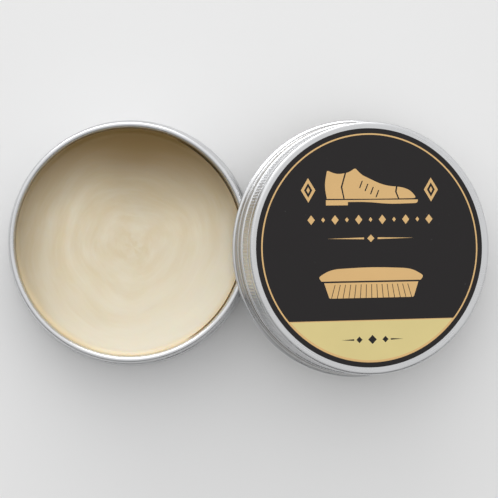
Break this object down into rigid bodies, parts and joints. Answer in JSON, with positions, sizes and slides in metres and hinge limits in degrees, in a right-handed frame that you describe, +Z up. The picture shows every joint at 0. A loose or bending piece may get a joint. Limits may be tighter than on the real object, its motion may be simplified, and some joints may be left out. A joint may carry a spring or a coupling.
{
  "type": "shoe polish tin",
  "caption": "Flat round screw-top aluminium tin of wax shoe polish, open: the filled base stands flat and the knurled lid, with its liner and printed label, leans on the rim.",
  "frame": {"origin": "the middle of the open tin's footprint, base and lid together, on the surface it stands on", "axes": "+X from the base towards the lid that leans on it, +Z up"},
  "size_m": [0.1496, 0.08, 0.0347],
  "materials": {
    "aluminium": "bare drawn aluminium, satin, with fine turned lines",
    "wax": "cream beeswax polish, soft semi-gloss, faint swirl marks",
    "liner_foam": "white closed-cell foam sheet",
    "label_black": "coated paper printed black, gold and cream, satin",
    "label_white": "plain coated paper"
  },
  "bodies": {
    "base": {"tin_base": "aluminium", "wax_fill": "wax", "base_label": "label_white"},
    "liner": {"seal_liner": "liner_foam"},
    "lid": {"lid_shell": "aluminium", "lid_label": "label_black"}
  },
  "joints": [
    {"name": "lid_lift", "type": "slide", "parent": "base", "child": "liner", "axis": [0, 0, 1], "range_m": [0, 0.05]},
    {"name": "lid_turn", "type": "hinge", "parent": "liner", "child": "lid", "pos_m": [0.0337, 0, 0.01005], "axis": [0.255, 0, 0.9669], "continuous": true}
  ]
}
